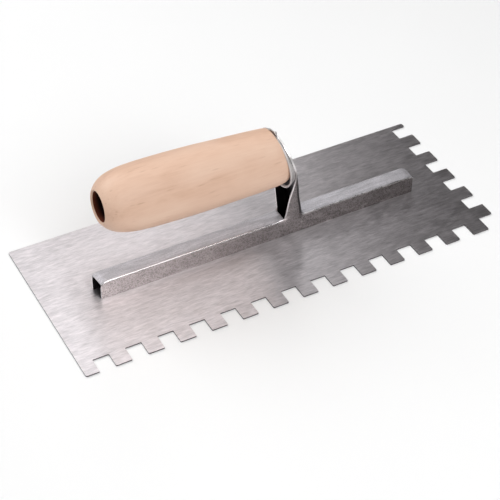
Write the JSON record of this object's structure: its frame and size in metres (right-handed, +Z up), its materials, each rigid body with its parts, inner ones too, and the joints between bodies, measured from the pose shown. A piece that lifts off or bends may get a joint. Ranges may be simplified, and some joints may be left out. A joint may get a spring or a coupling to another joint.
{
  "type": "notched trowel",
  "caption": "Hand trowel for spreading tile adhesive: notched steel blade, pressed steel channel and post, turned beech handle on a through rod.",
  "frame": {"origin": "centre of the blade's underside, on the surface the trowel rests on", "axes": "+X along the blade, from the handle's free end towards the post; +Y towards the blade's plain long edge, away from the notched one; +Z up through the handle"},
  "size_m": [0.2794, 0.1142, 0.0839],
  "materials": {
    "blade_steel": "brushed along the blade",
    "bracket_steel": "rolled and lightly brushed",
    "cup_steel": "satin",
    "fastener_steel": "plain zinc",
    "beech": "sanded, thinly oiled"
  },
  "bodies": {
    "root": {"blade": "blade_steel", "bracket": "bracket_steel", "base_strip": "bracket_steel", "blade_rivets": "fastener_steel", "ferrule_cup": "cup_steel", "handle": "beech", "tang_rod": "fastener_steel", "tang_washer": "fastener_steel", "tang_nut": "fastener_steel"}
  },
  "joints": []
}
